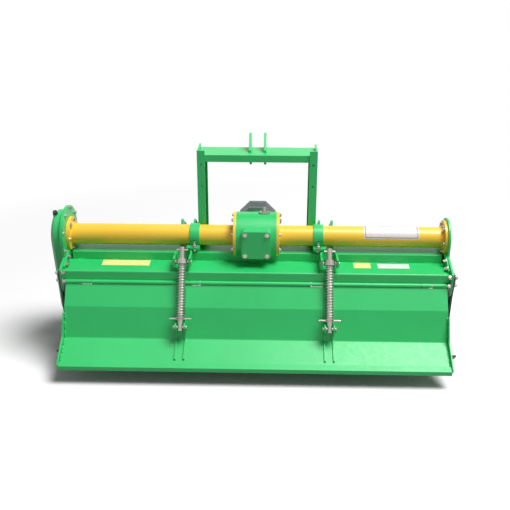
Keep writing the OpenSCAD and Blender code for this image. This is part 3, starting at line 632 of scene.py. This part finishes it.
def ringPoints(x, ring, facing, middle=(0, 0)):
    # Places round an axis across the machine; the angle runs from the top to the back
    out = []
    for k in range(ring["count"]):
        a = math.radians(ring["first"] + 360 / ring["count"] * k)
        y, z = -ring["radius"] * math.sin(a), ring["radius"] * math.cos(a)
        if z > ring.get("lowest", -math.inf):
            out.append((at(x, middle[0] + y, middle[1] + z), facing))
    return out


def beltOutline(belt, middle, steps=24):
    # A belt over two circles: round the tube and round the rotor's axis
    run = Vector(middle)
    base = math.atan2(run.y, run.x)
    t = math.acos((belt["topRadius"] - belt["lowRadius"]) / run.length)
    outline = []
    for centre, radius, a0, a1 in (
            ((0, 0), belt["topRadius"], base + t, base + 2 * math.pi - t),
            (middle, belt["lowRadius"], base - t, base + t)):
        for i in range(steps + 1):
            a = a0 + (a1 - a0) * i / steps
            turned = Vector((centre[0] + radius * math.cos(a), centre[1] + radius * math.sin(a)))
            outline.append(turned)
    return outline + outline[:1]


def beltPoints(belt, facing, middle):
    # Evenly spaced places round the belt
    outline = beltOutline(belt, middle)
    whole = sum((b - a).length for a, b in zip(outline, outline[1:]))
    count = round(whole / belt["step"])
    out, walked, due = [], 0.0, 0.0
    for a, b in zip(outline, outline[1:]):
        span = (b - a).length
        while due <= walked + span and len(out) < count:
            out.append(a + (b - a) * ((due - walked) / span if span else 0))
            due += whole / count
        walked += span
    return [(at(belt["x"], p.x, p.y), facing) for p in out if p.y > belt["lowest"]]


def tineBoltPoints():
    # Two bolts through each blade and its flange, with a nut on the other side
    t, axis = boltPlaces["tines"], boltPlaces["rotorAxis"]
    out = []
    for i in range(1, t["sets"] + 1):
        middle = (i - (t["sets"] + 1) / 2) * t["pitch"]
        for k in range(t["blades"]):
            a = math.radians(360 / t["blades"] * k + t["turn"] * i)
            side = -1 if k % 2 else 1
            for y, z in t["points"]:
                ty = y * math.cos(a) - z * math.sin(a) + axis[0]
                tz = y * math.sin(a) + z * math.cos(a) + axis[1]
                out.append((at(middle + side * t["head"], ty, tz), Vector((side, 0, 0))))
                out.append((at(middle - side * t["nut"], ty, tz), Vector((-side, 0, 0))))
    return out


def makeBolts():
    p = boltPlaces
    cover, clamp, yoke, neck = p["cover"], p["clamp"], p["yoke"], p["neck"]
    backward, forward = Vector((0, -1, 0)), Vector((0, 1, 0))
    upward, downward = Vector((0, 0, 1)), Vector((0, 0, -1))
    right = Vector((1, 0, 0))
    covers, big, small, studs = [], [], [], []
    for side in (-1, 1):
        out, inward = Vector((side, 0, 0)), Vector((-side, 0, 0))
        for z in (-cover["apart"], cover["apart"]):
            covers.append((at(side * cover["apart"], cover["y"], z), backward))
        small += ringPoints(side * p["innerFlange"]["x"], p["innerFlange"], out)
        small += ringPoints(side * p["outerFlange"]["x"], p["outerFlange"], inward)
        for row, facing in (("hoodEnd", inward), ("gusset", inward), ("skidStrap", out)):
            for y, z in p[row]["points"]:
                big.append((at(side * p[row]["x"], y, z), facing))
        studs.append((at(side * clamp["x"], clamp["y"], clamp["above"]), upward))
        big.append((at(side * clamp["x"], clamp["y"], clamp["below"]), downward))
        for x, y in p["feet"]["points"]:
            big.append((at(side * x, y, p["feet"]["z"]), upward))
        for dx in (-yoke["apart"], yoke["apart"]):
            small.append((at(side * yoke["x"] + dx, yoke["y"], yoke["z"]), backward))
    big += ringPoints(p["bearing"]["x"], p["bearing"], right, p["rotorAxis"])
    for k in range(neck["count"]):
        a = math.radians(neck["first"] + 360 / neck["count"] * k)
        x, z = neck["radius"] * math.cos(a), neck["radius"] * math.sin(a)
        small.append((at(x, neck["y"], z), forward))
    small += beltPoints(p["caseRim"], right, p["rotorAxis"])
    tree = boltTree(materials["zinc"], boltSizes["big"])
    for name, points, size, body in (
            ("coverBolts", covers, "cover", "frame"),
            ("frameBolts", big, "big", "frame"),
            ("rimBolts", small, "small", "frame"),
            ("clampStuds", studs, "stud", "frame"),
            ("tineBolts", tineBoltPoints(), "small", "rotor")):
        grow(name, pointMesh(points), tree, boltSizes[size], body, "zinc")


makeBolts()
print("bolts made")

# Split rings on the pins: the rings in metres, the rest in millimetres

clips = {
    "ring": {"Ring Radius": 0.011, "Wire Radius": 0.0016},
    "clevisEnd": 33.0, "trunnionEnd": 47.0,   # half the pins' lengths
    "inset": 4.0, "hang": 3.0, "lean": 0.25,
    "smooth": 60,   # degrees
}


def makeClips():
    tree = clipTree(materials["zinc"], clips["ring"])
    for side in ("left", "right"):
        for name, jointName, end, body in (
                ("clevisClip_", "rod_pivot_", clips["clevisEnd"], "rod_"),
                ("trunnionClip_", "trunnion_pivot_", clips["trunnionEnd"], "trunnion_")):
            place = jointPlace(jointName + side)
            points = []
            for k in (-1, 1):
                offset = Vector((k * (end - clips["inset"]), 0, -clips["hang"]))
                points.append((place + offset * mm, Vector((1, clips["lean"] * k, 0))))
            grow(name + side, pointMesh(points), tree, clips["ring"], body + side, "zinc",
                 smooth=clips["smooth"])


makeClips()
print("clips made")

# Weld beads, painted over: drops in metres, the rest in millimetres

welds = {
    "drop": {"Drop Radius": 0.0035, "Drop Step": 0.0034},
    "flapDrop": {"Drop Radius": 0.0055, "Drop Step": 0.0058},
    "tube": {"radius": 51.5, "ends": (112.5, 910.5), "steps": 48},
    "feet": {"x": (256, 285), "y": (66, 205), "z": -103},
    "headstock": {"x": 284, "y": (70, 205), "z": 387},
    "lugs": {"x": 36.75, "halfWidth": 6.5, "y": (122, 232), "z": 388},
    "hood": {"x": (-880, 880), "y": -63, "z": -112, "stitch": 34, "every": 170},
    "flap": {"x": 908.5, "stitch": 20, "every": 44,
             # Length, slope and first stitch of each panel below the hinge
             "panels": ((120, 56.5, None), (151, 74, 38), (160, 30, 16))},
    "smooth": 80,   # degrees
}


def lineMesh(lines):
    verts, joins = [], []
    for line in lines:
        first = len(verts)
        verts += line
        joins += [(first + i, first + i + 1) for i in range(len(line) - 1)]
    mesh = bpy.data.meshes.new("lines")
    mesh.from_pydata(verts, joins, [])
    return mesh


def ringLine(x, radius, steps):
    turns = [2 * math.pi * i / steps for i in range(steps + 1)]
    return [at(x, radius * math.sin(a), radius * math.cos(a)) for a in turns]


def hoodStitches():
    h = welds["hood"]
    x, end = h["x"]
    out = []
    while x < end:
        out.append([at(x, h["y"], h["z"]), at(min(x + h["stitch"], end), h["y"], h["z"])])
        x += h["every"]
    return out


def flapStitches():
    # Short beads down both ends of the flap, in the corner with the end plates
    f = welds["flap"]
    out = []
    place = (jointPlace("flap_hinge") - tubeAxis) / mm
    for length, slope, start in f["panels"]:
        a = math.radians(slope)
        down = Vector((0, -math.cos(a), -math.sin(a)))
        s = length if start is None else start
        while s + f["stitch"] < length:
            p, q = place + down * s, place + down * (s + f["stitch"])
            for x in (-f["x"], f["x"]):
                out.append([at(x, p.y, p.z), at(x, q.y, q.z)])
            s += f["every"]
        place = place + down * length
    return out


def makeWelds():
    tube, feet, head, lugs = welds["tube"], welds["feet"], welds["headstock"], welds["lugs"]
    yellow, green = [], []
    for side in (-1, 1):
        yellow += [ringLine(side * x, tube["radius"], tube["steps"]) for x in tube["ends"]]
        for y in feet["y"]:
            green.append([at(side * x, y, feet["z"]) for x in feet["x"]])
        green.append([at(side * head["x"], y, head["z"]) for y in head["y"]])
    green += hoodStitches()
    for side in (-1, 1):
        for dx in (-lugs["halfWidth"], lugs["halfWidth"]):
            green.append([at(side * lugs["x"] + dx, y, lugs["z"]) for y in lugs["y"]])
    for name, lines, paint, drop, body, slot in (
            ("tubeWelds", yellow, "yellowPaint", "drop", "frame", "yellow_paint"),
            ("frameWelds", green, "greenPaint", "drop", "frame", "green_paint"),
            ("flapWelds", flapStitches(), "greenPaint", "flapDrop", "flap", "green_paint")):
        tree = weldTree(materials[paint], welds[drop])
        grow(name, lineMesh(lines), tree, welds[drop], body, slot, smooth=welds["smooth"])


makeWelds()
print("welds made")

# Blank stickers: one round the tube and three on the hood, in millimetres and degrees

stickers = {
    "white": (0.74, 0.74, 0.72), "red": (0.45, 0.03, 0.03), "yellow": (0.86, 0.80, 0.30),
    "worn": 0.88, "grain": (60, 3), "wornRange": (0.45, 0.75),
    "roughRange": (0.3, 0.7), "roughness": (0.34, 0.46),
    "tube": {"x": (524, 791), "angles": (-24, 84), "radius": 51.05, "steps": 24},
    "border": {"inset": 6, "width": 3, "angle": 3.5, "radius": 51.2, "tubeRadius": 51},
    "hoodSlope": 5, "hoodEdge": (62, -112), "hoodLift": 0.5,   # from this far back and up
    # Color, left, right, front and back
    "hood": (("yellow", -752, -519, -68, -124), ("yellow", 474, 556, -70, -124),
             ("white", 590, 742, -78, -124)),
}


def stickerMaterial(name, color):
    s = stickers
    mat, nodes, links, shader, place = newMaterial(name)
    grain = noise(nodes, links, place, *s["grain"])
    patches = spread(nodes, links, grain, *s["wornRange"], 0, 1)
    worn = tuple(c * s["worn"] for c in color)
    links.new(mixed(nodes, links, patches, color, worn), shader.inputs["Base Color"])
    rough = spread(nodes, links, grain, *s["roughRange"], *s["roughness"])
    links.new(rough, shader.inputs["Roughness"])
    return mat


def addTubePatch(mesh, x0, x1, a0, a1, radius):
    steps = stickers["tube"]["steps"]
    rows = []
    for i in range(steps + 1):
        a = math.radians(a0 + (a1 - a0) * i / steps)
        y, z = -radius * math.sin(a), radius * math.cos(a)
        rows.append([mesh.verts.new(at(x, y, z)) for x in (x0, x1)])
    for low, high in zip(rows, rows[1:]):
        mesh.faces.new((low[0], high[0], high[1], low[1]))


def tubeSticker(name, patches, radius, material):
    mesh = bmesh.new()
    for patch in patches:
        addTubePatch(mesh, *patch, radius)
    bmesh.ops.recalc_face_normals(mesh, faces=mesh.faces)
    data = bpy.data.meshes.new(name)
    mesh.to_mesh(data)
    mesh.free()
    # The sticker lies on the upper back of the tube, so it faces up and back
    facing = sum((p.normal for p in data.polygons), Vector())
    if facing.z - facing.y < 0:
        data.flip_normals()
    data.shade_smooth()
    finishPiece(linkMesh(name, data), "frame", "yellow_paint", material)


def makeStickers():
    s = stickers
    (x0, x1), (a0, a1) = s["tube"]["x"], s["tube"]["angles"]
    border = s["border"]
    white, red, yellow = (stickerMaterial(name, s[color]) for name, color in (
        ("labelWhite", "white"), ("labelRed", "red"), ("labelYellow", "yellow")))
    tubeSticker("tubeLabel", [(x0, x1, a0, a1)], s["tube"]["radius"], white)
    turn = math.degrees(border["inset"] / border["tubeRadius"])
    left, right = x0 + border["inset"], x1 - border["inset"]
    top, bottom = a0 + turn, a1 - turn
    strips = [(left, left + border["width"], top, bottom),
              (right - border["width"], right, top, bottom),
              (left, right, bottom - border["angle"], bottom),
              (left, right, top, top + border["angle"])]
    tubeSticker("tubeLabelBorder", strips, border["radius"], red)
    slope = math.tan(math.radians(s["hoodSlope"]))
    edgeY, edgeZ = s["hoodEdge"]
    for i, (color, x0, x1, y0, y1) in enumerate(s["hood"]):
        corners = [at(x, y, edgeZ - (-y - edgeY) * slope + s["hoodLift"])
                   for x, y in ((x0, y1), (x1, y1), (x1, y0), (x0, y0))]
        data = bpy.data.meshes.new("hoodLabel")
        data.from_pydata(corners, [], [(0, 1, 2, 3)])
        piece = linkMesh("hoodLabel%d" % (i + 1), data)
        finishPiece(piece, "frame", "green_paint", yellow if color == "yellow" else white)


makeStickers()
print("stickers made")

# Floor and light

studio = {
    "floorHalf": 30,         # metres
    "floorColor": 0.98,      # as the camera sees it
    "floorBounce": 0.16,     # as the machine's undersides see it
    "floorRoughness": 0.9,
    "floorShine": 0.05,
    "fadeFrom": 1.5,         # metres from the machine where the floor turns plain white
    "fadeTo": 3.2,
    "worldStrength": 0.18,
    "keyPlace": (3.2, -1.3, 8.6),
    "keyTarget": (0, 0, 0.4),
    "keyPower": 1000,
    "keySize": 4.5,
}


def seenByEye(nodes, links):
    # One for rays from the camera, from mirrors and through glass
    path = nodes.new("ShaderNodeLightPath").outputs
    first = reckon(nodes, links, "MAXIMUM", path["Is Camera Ray"], path["Is Glossy Ray"])
    return reckon(nodes, links, "MAXIMUM", first, path["Is Transmission Ray"])


def makeFloor():
    s = studio
    mesh = bpy.data.meshes.new("floor")
    half = s["floorHalf"]
    corners = [(-half, -half, 0), (half, -half, 0), (half, half, 0), (-half, half, 0)]
    mesh.from_pydata(corners, [], [(0, 1, 2, 3)])
    floor = linkMesh("floor", mesh)
    mat, nodes, links, shader, place = newMaterial("floorPaint")
    shader.inputs["Roughness"].default_value = s["floorRoughness"]
    shader.inputs["Specular IOR Level"].default_value = s["floorShine"]
    eye = seenByEye(nodes, links)
    tone = spread(nodes, links, eye, 0, 1, s["floorBounce"], s["floorColor"])
    links.new(tone, shader.inputs["Base Color"])
    away = nodes.new("ShaderNodeVectorMath")
    away.operation = "LENGTH"
    links.new(place, away.inputs[0])
    far = spread(nodes, links, away.outputs["Value"], s["fadeFrom"], s["fadeTo"], 0, 1)
    glow = nodes.new("ShaderNodeEmission")
    mix = nodes.new("ShaderNodeMixShader")
    links.new(reckon(nodes, links, "MULTIPLY", far, eye), mix.inputs[0])
    links.new(shader.outputs[0], mix.inputs[1])
    links.new(glow.outputs[0], mix.inputs[2])
    links.new(mix.outputs[0], nodes["Material Output"].inputs["Surface"])
    mesh.materials.append(mat)


def makeWorld():
    world = bpy.data.worlds.new("studio")
    bpy.context.scene.world = world
    world.use_nodes = True
    nodes, links = world.node_tree.nodes, world.node_tree.links
    back = nodes["Background"]
    back.inputs["Color"].default_value = (1, 1, 1, 1)
    strength = spread(nodes, links, seenByEye(nodes, links), 0, 1, studio["worldStrength"], 1)
    links.new(strength, back.inputs["Strength"])


def makeLamp(name, place, target, size, power):
    data = bpy.data.lights.new(name, "AREA")
    data.shape = "SQUARE"
    data.size = size
    data.energy = power
    lamp = bpy.data.objects.new(name, data)
    bpy.context.scene.collection.objects.link(lamp)
    lamp.location = place
    lamp.rotation_euler = (Vector(target) - Vector(place)).to_track_quat("-Z", "Y").to_euler()


makeFloor()
makeWorld()
makeLamp("key", studio["keyPlace"], studio["keyTarget"], studio["keySize"], studio["keyPower"])
bpy.context.scene.view_settings.view_transform = "Standard"
print("stage set")
